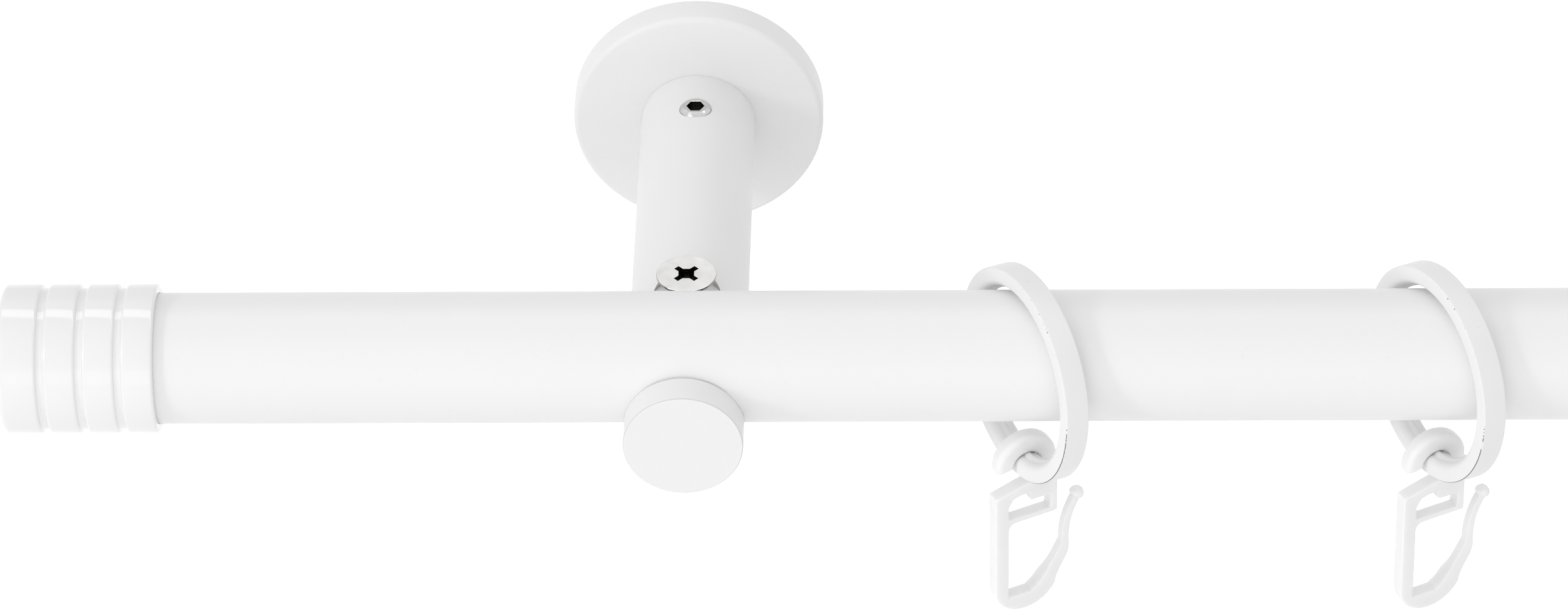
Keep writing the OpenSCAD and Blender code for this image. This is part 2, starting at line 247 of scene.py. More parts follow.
def lathe(name: str, outline: Sequence[Point], origin: Vector, along: Vector, steps: int = 144) -> Object:
    """Revolves an outline about a line.

    Args:
        name: Name of the new object.
        outline: Closed outline as (radius, distance along the line), in millimetres; radius 0 is on the line.
        origin: Point on the line at distance 0, in metres.
        along: Direction of the line.
        steps: Steps round the line.

    Returns:
        A closed shape with its faces outwards.
    """
    along = along.normalized()
    across = along.orthogonal().normalized()
    if abs(along.z) < 0.5:
        across = (Vector((0, 0, 1)) - along * along.z).normalized()
    other = along.cross(across)
    bm = bmesh.new()
    rings: list[list[bmesh.types.BMVert]] = []
    for radius, distance in outline:
        middle = origin + along * (distance * MM)
        if radius < 1e-6:
            rings.append([bm.verts.new(middle)])
            continue
        rings.append([
            bm.verts.new(middle + (across * cos(t) + other * sin(t)) * (radius * MM))
            for t in (tau * step / steps for step in range(steps))
        ])
    for here, there in zip(rings, rings[1:] + rings[:1]):
        if len(here) == 1 and len(there) == 1:
            continue
        for step in range(steps):
            after = (step + 1) % steps
            corners = [here[step % len(here)], here[after % len(here)],
                       there[after % len(there)], there[step % len(there)]]
            bm.faces.new(list(dict.fromkeys(corners)))
    return shape(name, bm)


def prism(name: str, outline: Sequence[Point], depth: float, place: Matrix, taper: float = 1.0) -> Object:
    """Extrudes an outline, the same amount to each side of its plane.

    Args:
        name: Name of the new object.
        outline: Outline in millimetres.
        depth: Full depth, in millimetres.
        place: Carries the outline's plane, X and Y, and its depth, Z, to their place, in millimetres.
        taper: Size of the low end, as a share of the high end's.

    Returns:
        A closed shape with its faces outwards.
    """
    bm = bmesh.new()
    low = [bm.verts.new(place @ Vector((x * taper, y * taper, -depth / 2)) * MM) for x, y in outline]
    high = [bm.verts.new(place @ Vector((x, y, depth / 2)) * MM) for x, y in outline]
    bm.faces.new(low)
    bm.faces.new(high)
    band(bm, low, high)
    return shape(name, bm)


def sweep(name: str, loops: Sequence[Sequence[Vector]]) -> Object:
    """Skins loops of points into one closed shape, flat at both ends.

    Args:
        name: Name of the new object.
        loops: Loops in order, all with the same number of points, in millimetres.

    Returns:
        A closed shape with its faces outwards.
    """
    bm = bmesh.new()
    rings = [[bm.verts.new(point * MM) for point in loop] for loop in loops]
    for here, there in zip(rings, rings[1:]):
        band(bm, here, there)
    bm.faces.new(rings[0])
    bm.faces.new(rings[-1])
    return shape(name, bm)


def arc(centre: Point, radius: float, start: float, end: float, steps: int = 12) -> list[Point]:
    """Points along an arc, both ends included.

    Args:
        centre: Centre of the arc.
        radius: Its radius.
        start: Angle of its first point, in degrees.
        end: Angle of its last point, in degrees.
        steps: Steps along it.

    Returns:
        The points.
    """
    turns = (radians(start + (end - start) * step / steps) for step in range(steps + 1))
    return [(centre[0] + radius * cos(t), centre[1] + radius * sin(t)) for t in turns]


def dress(obj: Object, *materials: Material) -> Object:
    """Gives an object its materials, in slot order."""
    obj.data.materials.clear()
    for material in materials:
        obj.data.materials.append(material)
    return obj


def hand_over(obj: Object, body: str, slot: str, *nodes: str) -> Object:
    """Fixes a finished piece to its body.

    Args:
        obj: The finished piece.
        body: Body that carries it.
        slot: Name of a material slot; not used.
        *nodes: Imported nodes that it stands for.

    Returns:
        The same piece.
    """
    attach(obj, body)
    if nodes:
        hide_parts(*nodes)
    LOG.info("%s rides on %s: %d faces", obj.name, body, len(obj.data.polygons))
    return obj


# Node trees


class Web:
    """A node tree under construction, emptied first."""

    prefix = "ShaderNode"

    def __init__(self, tree: NodeTree) -> None:
        """Starts on a tree."""
        self.tree = tree
        tree.nodes.clear()

    def node(self, kind: str, inputs: dict[str | int, object] | None = None, **settings: object) -> Node:
        """Adds a node.

        Args:
            kind: Blender's node type, without the tree's own prefix.
            inputs: Values or sockets for its inputs, by name or number.
            **settings: Its own settings.

        Returns:
            The new node.
        """
        node = self.tree.nodes.new(self.prefix + kind)
        for key, value in settings.items():
            setattr(node, key, value)
        for key, value in (inputs or {}).items():
            if isinstance(value, NodeSocket):
                self.tree.links.new(value, node.inputs[key])
            else:
                node.inputs[key].default_value = value
        return node


class Graph(Web):
    """A geometry tree with named inputs."""

    prefix = "GeometryNode"

    def __init__(self, name: str) -> None:
        """Starts an empty tree that puts out one geometry."""
        super().__init__(bpy.data.node_groups.new(name, "GeometryNodeTree"))
        self.tree.interface.new_socket("Geometry", in_out="OUTPUT", socket_type="NodeSocketGeometry")
        self.entry = self.tree.nodes.new("NodeGroupInput")
        self.exit = self.tree.nodes.new("NodeGroupOutput")

    def inputs(self, **kinds: str) -> list[NodeSocket]:
        """Adds named inputs, each with its kind of socket, and gives the sockets inside the tree."""
        for name, kind in kinds.items():
            self.tree.interface.new_socket(name, in_out="INPUT", socket_type="NodeSocket" + kind)
        return [self.entry.outputs[name] for name in kinds]

    def finish(self, geometry: NodeSocket, material: NodeSocket) -> NodeTree:
        """Ends the tree in Realize Instances and Set Material, and gives it back."""
        real = self.node("RealizeInstances", {"Geometry": geometry})
        painted = self.node("SetMaterial", {"Geometry": real.outputs[0], "Material": material})
        self.tree.links.new(painted.outputs[0], self.exit.inputs[0])
        return self.tree

    @staticmethod
    def grow(tree: NodeTree, name: str, **values: object) -> Object:
        """Runs a tree once and keeps its result as plain mesh.

        Args:
            tree: Finished tree.
            name: Name of the new object.
            **values: Value of each input, by name.

        Returns:
            The new object.
        """
        obj = add_object(name, bpy.data.meshes.new(name))
        modifier = obj.modifiers.new("tree", "NODES")
        modifier.node_group = tree
        sockets = {item.name: item.identifier for item in tree.interface.items_tree if item.in_out == "INPUT"}
        for key, value in values.items():
            modifier[sockets[key]] = value
        return settle(obj)


# Finishes


class Paint(Web):
    """A material with one Principled shader."""

    def __init__(self, name: str) -> None:
        """Starts a material with its shader, output and object coordinates."""
        self.material = bpy.data.materials.new(name)
        self.material.use_nodes = True
        super().__init__(self.material.node_tree)
        self.shader = self.node("BsdfPrincipled")
        self.node("OutputMaterial", {"Surface": self.shader.outputs["BSDF"]})
        self.place = self.node("TexCoord").outputs["Object"]

    def set(self, **values: object) -> None:
        """Sets constants on the shader's own sockets, by name with underscores for spaces."""
        for key, value in values.items():
            self.shader.inputs[key.replace("_", " ")].default_value = value

    def feed(self, socket: str, value: NodeSocket) -> None:
        """Links a varying value to one of the shader's sockets."""
        self.tree.links.new(value, self.shader.inputs[socket])

    def noise(self, size: float, detail: float = 2.0, stretch: Triple = (1, 1, 1)) -> NodeSocket:
        """Adds noise.

        Args:
            size: Size of its features, in millimetres.
            detail: Octaves of finer noise.
            stretch: How the coordinates are scaled before the noise.

        Returns:
            The noise, about 0.5 on average.
        """
        mapping = self.node("Mapping", {"Scale": stretch, "Vector": self.place})
        return self.node("TexNoise", {"Scale": 1 / (size * MM), "Detail": detail,
                                      "Vector": mapping.outputs["Vector"]}).outputs["Fac"]

    def attribute(self, name: str) -> NodeSocket:
        """Reads a number that the mesh carries."""
        return self.node("Attribute", attribute_name=name).outputs["Fac"]

    def math(self, operation: str, first: object, second: object) -> NodeSocket:
        """Combines two numbers or sockets by one of Blender's operations."""
        return self.node("Math", {0: first, 1: second}, operation=operation).outputs[0]

    def spread(self, value: NodeSocket, low: float, high: float, start: float = 0.3,
               end: float = 0.7) -> NodeSocket:
        """Maps a number to a range.

        Args:
            value: Number to map.
            low: Result at the start.
            high: Result at the end.
            start: Number that gives the low result.
            end: Number that gives the high result.

        Returns:
            The mapped number, kept inside the range.
        """
        return self.node("MapRange", {"From Min": start, "From Max": end, "To Min": low, "To Max": high,
                                      "Value": value}).outputs["Result"]

    def ramp(self, value: NodeSocket, *stops: tuple[float, Triple]) -> NodeSocket:
        """Turns a number into a colour, by stops of a place and a colour."""
        node = self.node("ValToRGB", {"Fac": value})
        elements = node.color_ramp.elements
        while len(elements) < len(stops):
            elements.new(0.5)
        for element, (position, colour) in zip(elements, stops):
            element.position, element.color = position, (*colour, 1)
        return node.outputs["Color"]

    def rough(self, size: float, detail: float, low: float, high: float) -> None:
        """Varies the gloss between two roughnesses, with noise of a size and detail."""
        self.feed("Roughness", self.spread(self.noise(size, detail), low, high))

    def plain(self, cloud: NodeSocket, tone: float) -> None:
        """Gives one pale tone, a trace darker in the clouds."""
        self.feed("Base Color", self.ramp(cloud, (0.3, grey(tone * 0.985)), (0.7, grey(tone))))

    def bump(self, height: NodeSocket, depth: float) -> None:
        """Roughens the surface by a height from 0 to 1, as deep as 1 stands for in millimetres."""
        node = self.node("Bump", {"Strength": 1.0, "Distance": depth * MM, "Height": height})
        self.feed("Normal", node.outputs["Normal"])


def grey(value: float) -> Triple:
    """A plain grey."""
    return (value, value, value)


@dataclass(frozen=True)
class Coating:
    """White coat on metal, with the faint texture that baking leaves and a few specks."""

    name: str
    tone: float = 0.86
    roughness: float = 0.42
    gloss: float = 0.3
    peel_size: float = 1.3
    peel_depth: float = 0.004

    def build(self) -> Material:
        """Makes the material."""
        paint = Paint(self.name)
        cloud = paint.noise(38, 3)
        mark = paint.spread(paint.noise(0.8, 0), 0, 1, 0.80, 0.83)
        tone = paint.math("SUBTRACT", paint.spread(cloud, 0.99, 1.0), paint.math("MULTIPLY", mark, 0.018))
        paint.feed("Base Color", paint.ramp(tone, (0.85, grey(self.tone * 0.85)), (1.0, grey(self.tone))))
        paint.rough(9, 3, self.roughness - 0.03, self.roughness + 0.04)
        paint.bump(paint.noise(self.peel_size, 2), self.peel_depth)
        paint.set(Specular_IOR_Level=self.gloss)
        return paint.material


@dataclass(frozen=True)
class WornCoating(Coating):
    """The same coat on a ring, rubbed through to dark metal in a thin broken line along one outer edge."""

    def build(self) -> Material:
        """Makes the material; the mesh carries nearness to its edge as "edge" and how hard it rubs as "rub"."""
        paint = Paint(self.name)
        edge, rub = paint.attribute("edge"), paint.attribute("rub")
        grain = paint.math("ADD", paint.noise(0.4, 2), paint.math("MULTIPLY", rub, 0.42))
        chips = paint.spread(grain, 0, 1, 0.76, 0.84)
        worn = paint.math("MULTIPLY", chips, paint.spread(edge, 0, 1, 0.4, 0.7))
        mark = paint.spread(paint.noise(0.9, 0), 0, 0.3, 0.80, 0.83)
        dirt = paint.math("MAXIMUM", mark, paint.spread(paint.noise(14, 3), 0.10, 0.0))
        paint.feed("Base Color", paint.ramp(paint.math("MAXIMUM", worn, dirt), (0.0, grey(self.tone)),
                                            (0.3, grey(self.tone * 0.93)), (0.7, grey(0.2)), (1.0, grey(0.1))))
        paint.rough(6, 3, self.roughness - 0.04, self.roughness + 0.05)
        paint.bump(paint.math("SUBTRACT", paint.noise(self.peel_size, 2), paint.math("MULTIPLY", worn, 4.0)),
                   self.peel_depth)
        paint.set(Specular_IOR_Level=self.gloss)
        return paint.material


@dataclass(frozen=True)
class Moulding:
    """Opaque white plastic with a soft gloss."""

    name: str
    tone: float = 0.87
    roughness: float = 0.11
    gloss: float = 0.5

    def build(self) -> Material:
        """Makes the material."""
        paint = Paint(self.name)
        paint.plain(paint.noise(22, 2), self.tone)
        paint.rough(12, 2, self.roughness - 0.02, self.roughness + 0.03)
        paint.bump(paint.noise(3.5, 1), 0.006)
        paint.set(Specular_IOR_Level=self.gloss)
        return paint.material


@dataclass(frozen=True)
class MilkyPlastic:
    """Unpigmented plastic that lets some light through."""

    name: str
    tone: float = 0.87
    roughness: float = 0.34

    def build(self) -> Material:
        """Makes the material."""
        paint = Paint(self.name)
        paint.plain(paint.noise(5.5, 2, (1, 1, 0.45)), self.tone)
        paint.rough(3.4, 2, self.roughness - 0.04, self.roughness + 0.06)
        paint.bump(paint.noise(2.6, 1), 0.012)
        paint.set(Subsurface_Weight=1.0, Subsurface_Radius=(1.0, 1.0, 1.0), Subsurface_Scale=0.0012, IOR=1.49)
        return paint.material


@dataclass(frozen=True)
class Metal:
    """Bare or plated metal, with fine lines or cloudy plating."""

    name: str
    tone: Triple
    roughness: float
    line_size: float
    line_depth: float
    stretch: Triple = (1, 1, 1)

    def build(self) -> Material:
        """Makes the material."""
        paint = Paint(self.name)
        cloud = paint.noise(3.2, 3)
        dull = tuple(channel * 0.9 for channel in self.tone)
        paint.feed("Base Color", paint.ramp(cloud, (0.3, dull), (0.7, self.tone)))
        paint.rough(1.6, 2, self.roughness * 0.8, self.roughness * 1.25)
        paint.bump(paint.noise(self.line_size, 2, self.stretch), self.line_depth)
        paint.set(Metallic=1.0)
        return paint.material


class Finishes:
    """Every finish of the object, each built once."""

    def __init__(self) -> None:
        """Builds the materials."""
        self.rod = Coating("rod_coat", roughness=0.40).build()
        self.bracket = Coating("bracket_coat", roughness=0.44, peel_size=1.1).build()
        self.ring = WornCoating("ring_coat", roughness=0.40).build()
        self.finial = Moulding("finial_moulding").build()
        self.hook = MilkyPlastic("hook_moulding").build()
        # Painted shade: a darker grey coat for the sloping faces of the post's rounded nose, standing in for a
        # shaded edge line.
        self.edge = Coating("edge_coat", tone=0.68, roughness=0.5).build()
        self.chrome = Metal("screw_plating", (0.70, 0.695, 0.685), 0.3, 0.35, 0.003).build()
        self.blank = Metal("stud_plating", (0.66, 0.655, 0.65), 0.12, 0.5, 0.02).build()
        # Painted shade and reflection: dark steel put in the screws' recesses and on the clamp screw's rim, standing
        # in for their shadow and dark reflections.
        self.recess = Metal("recess_steel", (0.22, 0.218, 0.215), 0.16, 0.5, 0.02).build()
        self.milled = Metal("milled_steel", (0.52, 0.52, 0.51), 0.42, 0.22, 0.006, (0.15, 1, 1)).build()
        self.zinc = Metal("zinc_plating", (0.62, 0.63, 0.66), 0.34, 1.4, 0.004).build()


# Sub-assemblies


@dataclass
class RodTube:
    """The tube that everything hangs on."""

    wall: float = 1.0
    deburr: float = 0.15

    def build(self, finishes: Finishes) -> None:
        """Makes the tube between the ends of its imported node."""
        low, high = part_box("rod")
        radius = (high.z - low.z) / 2 / MM
        length = (high.x - low.x) / MM
        inner = radius - self.wall
        outline = rounded([(inner, 0, 0), (radius, 0, self.deburr), (radius, length, self.deburr),
                           (inner, length, 0)], 3)
        origin = Vector((low.x, (low.y + high.y) / 2, (low.z + high.z) / 2))
        tube = shade(lathe("rod_tube", outline, origin, Vector((1, 0, 0)), 192))
        hand_over(dress(tube, finishes.rod), "frame", "rod_white", "rod")


@dataclass
class Finial:
    """A banded end cap with a slot for the tube and a ribbed plug inside it."""

    side: Side
    length: float = 23.6
    radius: float = 11.4
    end_band: float = 5.9
    band: float = 4.75
    groove: float = 1.15
    groove_count: int = 3
    groove_depth: float = 0.55
    groove_round: float = 0.12
    mouth_round: float = 0.04
    shoulder: float = 0.45
    end_round: float = 0.9
    grip: float = 12.0
    wall: float = 1.6
    rod_radius: float = 10.0
    plug_radius: float = 8.55
    plug_lead: float = 6.0
    rib_height: float = 0.35
    rib_width: float = 1.0
    rib_count: int = 6
    slot_gap: float = 0.2
    fit: float = 0.03

    @property
    def slot_start(self) -> float:
        """Distance from the outer end to the bottom of the slot."""
        return self.length - self.grip - self.slot_gap

    def outline(self) -> list[Point]:
        """Outline of the cap: outside, slot and plug in one closed loop."""
        low = self.radius - self.groove_depth
        corners: list[Triple] = [(0, 0, 0), (self.radius, 0, self.end_round)]
        place = self.end_band
        for _ in range(self.groove_count):
            corners += [(self.radius, place, self.shoulder), (low, place, self.groove_round),
                        (low, place + self.groove, self.groove_round),
                        (self.radius, place + self.groove, self.shoulder)]
            place += self.groove + self.band
        slot_out, bore = self.rod_radius + self.fit, self.plug_radius - self.wall
        corners += [(self.radius, self.length, self.shoulder), (slot_out, self.length, self.mouth_round),
                    (slot_out, self.slot_start, 0.1), (self.plug_radius, self.slot_start, 0.1),
                    (self.plug_radius, self.length + self.plug_lead, 0.5),
                    (bore, self.length + self.plug_lead, 0.2), (bore, self.wall, 0.6), (0, self.wall, 0)]
        return rounded(corners, 6)

    def build(self, finishes: Finishes) -> None:
        """Makes the cap and hands it to its body."""
        node = f"finial_{self.side.word}"
        low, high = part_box(node)
        inwards = Vector((-self.side.value, 0, 0))
        outer = high.x if self.side is Side.RIGHT else low.x
        origin = Vector((outer, (low.y + high.y) / 2, (low.z + high.z) / 2))
        cap = lathe(f"finial_cap_{self.side.word}", self.outline(), origin, inwards, 160)
        h = self.rib_height
        rib = [(0, -h), (self.grip + 1, -h), (self.grip + 1, 0), (self.grip - 0.6, h), (0, h)]
        rib_at = Matrix.Translation(Vector((0, 0, self.plug_radius)) + inwards * (self.slot_start - 1))
        flip = Matrix.Rotation(pi, 4, "Z") if self.side is Side.RIGHT else Matrix.Identity(4)
        for index in range(self.rib_count):
            turn = Matrix.Rotation(tau * index / self.rib_count, 4, inwards)
            place = Matrix.Translation(origin / MM) @ turn @ rib_at @ flip @ turned(90, "X")
            combine(cap, prism("rib", rib, self.rib_width, place), Cut.ADD)
        hand_over(dress(shade(cap), finishes.finial), node, "finial_white", node)


@dataclass
class Bracket:
    """One wall bracket: plate, spigot, rosette, post and its two screws."""

    side: Side
    plate_depth: float = 2.5
    hole_pitch: float = 24.0
    hole_radius: float = 2.25
    sink_radius: float = 3.75
    tenon_radius: float = 4.0
    rosette_wall: float = 1.4
    rosette_round: float = 0.9
    nose_round: float = 0.25
    nose_slopes: Point = (0.35, 0.9)
    post_bevel: float = 0.09
    screw_bevel: float = 0.05
    cradle_radius: float = 10.05
    clamp_y: float = -61.1
    clamp_radius: float = 2.5
    clamp_rim: float = 0.4
    clamp_hole_z: float = -5.2
    flat_radius: float = 5.2
    flat_height: float = 7.3
    flat_slack: float = 0.05
    recess_over: float = 0.5
    recess_lip: float = 0.06
    recess_depth: float = 2.2
    set_y: float = -14.1
    set_radius: float = 2.5
    spigot_radius: float = 6.0
    thread_fit: float = 0.05
    spigot_fit: float = 0.1
    bore_depth: float = 18.3
    post_rows: int = 60

    def __post_init__(self) -> None:
        """Finds the bracket's place from its packed post."""
        low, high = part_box(f"post_{self.side.word}")
        self.x = (low.x + high.x) / 2 / MM
        self.post_radius = (high.x - low.x) / 2 / MM
        self.post_back, self.post_front = high.y / MM, low.y / MM

    def at(self, x: float, y: float, z: float) -> Vector:
        """A point of the bracket, in metres, from its distances to the bracket's own axis and the wall."""
        return Vector((self.x + x, y, z)) * MM

    def post(self, finishes: Finishes) -> None:
        """Makes the post, bored, cradled, drilled and milled, with bare metal where it is milled and a painted shade
        line on its nose's edge.
        """
        length = self.post_back - self.post_front
        r = self.post_radius
        side = [(r, length * step / self.post_rows, 0) for step in range(1, self.post_rows)]
        outline = rounded([(0, 0, 0), (r, 0, 0.1), *side, (r, length, self.nose_round), (0, length, 0)], 6)
        forwards, up = Vector((0, -1, 0)), Vector((0, 0, 1))
        body = lathe(f"bracket_post_{self.side.word}", outline, self.at(0, self.post_back, 0), forwards, 160)
        rod_low, rod_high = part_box("rod")
        rod_y, rod_z = (rod_low.y + rod_high.y) / 2 / MM, (rod_low.z + rod_high.z) / 2 / MM
        cradle = arc((0, 0), self.cradle_radius, 180, 360, 80)
        cradle += [(self.cradle_radius, 2 * r), (-self.cradle_radius, 2 * r)]
        facing = Matrix.Translation((self.x, rod_y, rod_z)) @ turned(90, "Z") @ turned(90, "X")
        combine(body, prism("cradle", cradle, 4 * r, facing))

        def drill(radius: float, y: float, bottom: float, top: float) -> None:
            """Cuts an upright hole into the post."""
            outline = [(0, 0), (radius, 0), (radius, top - bottom), (0, top - bottom)]
            combine(body, lathe("drill", outline, self.at(0, y, bottom), up, 96))

        drill(self.flat_radius, self.clamp_y, self.flat_height, 2 * r)
        drill(self.clamp_radius + self.thread_fit, self.clamp_y, self.clamp_hole_z, self.flat_height + 1)
        drill(self.set_radius + self.thread_fit, self.set_y, 0.0, 2 * r)
        hole = self.spigot_radius + self.spigot_fit
        bore = [(0, -1), (hole, -1), (hole, self.bore_depth), (0, self.bore_depth)]
        combine(body, lathe("bore", bore, self.at(0, self.post_back, 0), forwards, 96))
        bevel(weld(body), self.post_bevel, 35)
        weld(body)
        dress(flatten(shade(body, 30)), finishes.bracket, finishes.milled, finishes.edge)
        clamp = self.at(0, self.clamp_y, self.flat_height)
        for face in body.data.polygons:
            away = face.center - clamp
            level = abs(away.z) < self.flat_slack * MM and face.normal.z > 0.9
            if level and away.xy.length < self.flat_radius * MM:
                face.material_index = 1
            # Painted shade: the faces of the nose's rounding that slope away from the front take the darker edge
            # coat, standing in for a shaded edge line.
            at_nose = face.center.y < (self.post_front + self.nose_round) * MM
            if at_nose and self.nose_slopes[0] < -face.normal.y < self.nose_slopes[1]:
                face.material_index = 2
        hand_over(body, "frame", "bracket_white", f"post_{self.side.word}")

    def rosette(self, finishes: Finishes) -> None:
        """Makes the shallow cup against the wall."""
        node = f"rosette_{self.side.word}"
        low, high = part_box(node)
        depth, r = (high.y - low.y) / MM, (high.x - low.x) / 2 / MM
        bore, inner = self.spigot_radius + self.spigot_fit, r - self.rosette_wall
        outline = rounded([(inner, 0, 0.1), (r, 0, 0.15), (r, depth, self.rosette_round), (bore, depth, 0.1),
                           (bore, depth - self.rosette_wall, 0.1), (inner, depth - self.rosette_wall, 0.4)], 6)
        cup = lathe(f"rosette_cup_{self.side.word}", outline, self.at(0, 0, 0), Vector((0, -1, 0)), 192)
        hand_over(dress(shade(cup), finishes.bracket), "frame", "bracket_white", node)

    def plate(self, finishes: Finishes) -> None:
        """Makes the wall plate with its countersunk holes, and the spigot riveted into it."""
        node = f"wall_plate_{self.side.word}"
        low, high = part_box(node)
        r = (high.x - low.x) / 2 / MM
        forwards = Vector((0, -1, 0))
        hole = self.tenon_radius + self.thread_fit
        outline = rounded([(hole, 0, 0), (r, 0, 0.2), (r, self.plate_depth, 0.3), (hole, self.plate_depth, 0)], 3)
        disc = lathe(f"wall_plate_disc_{self.side.word}", outline, self.at(0, 0, 0), forwards, 128)
        sink = self.sink_radius - self.hole_radius
        for sign in (-1, 1):
            cutter = [(0, -1), (self.hole_radius, -1), (self.hole_radius, self.plate_depth - sink),
                      (self.sink_radius + 1, self.plate_depth + 1), (0, self.plate_depth + 1)]
            combine(disc, lathe("sink", cutter, self.at(0, 0, sign * self.hole_pitch / 2), forwards, 64))
        hand_over(dress(shade(bevel(disc, 0.08)), finishes.zinc), "frame", "zinc_steel", node)
        node = f"spigot_{self.side.word}"
        low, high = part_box(node)
        end, rs, groove = (high.y - low.y) / MM, self.spigot_radius, -self.set_y
        stud = rounded([(0, 0, 0), (self.tenon_radius, 0, 0.25), (self.tenon_radius, self.plate_depth, 0),
                        (rs, self.plate_depth, 0.15), (rs, groove - 1, 0), (rs - 1, groove, 0),
                        (rs, groove + 1, 0), (rs, end - 0.8, 0.1), (rs - 0.8, end, 0.1), (0, end, 0)], 3)
        pin = lathe(f"spigot_pin_{self.side.word}", stud, self.at(0, 0, 0), forwards, 96)
        hand_over(dress(shade(pin), finishes.zinc), "frame", "zinc_steel", node)

    def clamp_screw(self, finishes: Finishes) -> None:
        """Makes the countersunk screw with its cross recess."""
        node = f"clamp_screw_{self.side.word}"
        low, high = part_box(node)
        r, head, length = self.clamp_radius, (high.x - low.x) / 2 / MM, (high.z - low.z) / MM
        rim = length - self.clamp_rim
        neck = rim - (head - r)
        outline = rounded([(0, 0, 0), (r - 0.6, 0, 0.1), (r, 0.6, 0.1), (r, neck, 0.15), (head, rim, 0.06),
                           (head, length, 0.12), (0, length, 0)], 4)
        foot, up = self.at(0, self.clamp_y, low.z / MM), Vector((0, 0, 1))
        screw = lathe(f"clamp_screw_head_{self.side.word}", outline, foot, up, 128)
        span, wing, core, depth, taper = 2.35, 0.5, 1.3, 2.0, 0.72
        cross, quarter = [], [(span, -wing), (span, wing), (core, wing), (wing, core)]
        for _ in range(4):
            cross += quarter
            quarter = [(-y, x) for x, y in quarter]
        self.punch(screw, cross, depth, self.clamp_y, high.z / MM, taper, 45)
        bevel(screw, self.screw_bevel)
        dress(shade(screw, 8), finishes.chrome, finishes.recess)
        self.darken(screw, self.clamp_y, high.z / MM, span + 0.1)
        # Painted reflection: the head's upright rim takes the dark recess steel, standing in for the dark
        # reflections on its edge.
        for face in screw.data.polygons:
            if abs(face.normal.z) < 0.6 and face.center.z > high.z - self.clamp_rim * MM:
                face.material_index = 1
        hand_over(screw, node, "screw_chrome", node)

    def set_screw(self, finishes: Finishes) -> None:
        """Makes the headless screw with its hexagon socket."""
        node = f"set_screw_{self.side.word}"
        low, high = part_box(node)
        r, length, point, rim, across, depth = self.set_radius, (high.z - low.z) / MM, 0.4, 0.5, 2.5, 2.0
        outline = rounded([(0, 0, 0), (point, 0, 0), (r, r - point, 0.1), (r, length - rim, 0.08),
                           (r - rim, length, 0.08), (0, length, 0)], 4)
        foot, up = self.at(0, self.set_y, low.z / MM), Vector((0, 0, 1))
        screw = lathe(f"set_screw_stud_{self.side.word}", outline, foot, up, 96)
        hexagon = arc((0, 0), across / 2 / cos(pi / 6), 0, 300, 5)
        self.punch(screw, hexagon, depth, self.set_y, high.z / MM)
        bevel(weld(screw), self.screw_bevel)
        weld(screw)
        dress(shade(screw, 8), finishes.blank, finishes.recess)
        self.darken(screw, self.set_y, high.z / MM, across / 2 + 0.3)
        hand_over(screw, node, "screw_chrome", node)

    def punch(self, screw: Object, outline: Sequence[Point], depth: float, y: float, top: float,
              taper: float = 1.0, angle: float = 0.0) -> None:
        """Cuts a recess into a screw.

        Args:
            screw: The screw.
            outline: Outline of the recess.
            depth: Its depth.
            y: Distance of the screw's axis from the wall's face, in millimetres.
            top: Height of its top.
            taper: Size of the recess's bottom, as a share of its mouth.
            angle: Turn of the outline, in degrees.
        """
        full = depth + self.recess_over
        place = Matrix.Translation((self.x, y, top + self.recess_over - full / 2)) @ turned(angle, "Z")
        combine(screw, prism("recess", outline, full, place, taper))

    def darken(self, screw: Object, y: float, top: float, reach: float) -> None:
        """Gives the faces inside a screw's recess the second material, a painted shade: dark steel that stands in
        for the shadow in the recess.

        Args:
            screw: The screw.
            y: Distance of its axis from the wall's face, in millimetres.
            top: Height of its top.
            reach: Largest distance of the recess from its axis.
        """
        axis = self.at(0, y, 0).xy
        for face in screw.data.polygons:
            within = (face.center.xy - axis).length < reach * MM
            if within and (top - self.recess_depth) * MM < face.center.z < (top - self.recess_lip) * MM:
                face.material_index = 1

    def build(self, finishes: Finishes) -> None:
        """Makes all of the bracket."""
        self.plate(finishes)
        self.rosette(finishes)
        self.post(finishes)
        self.clamp_screw(finishes)
        self.set_screw(finishes)


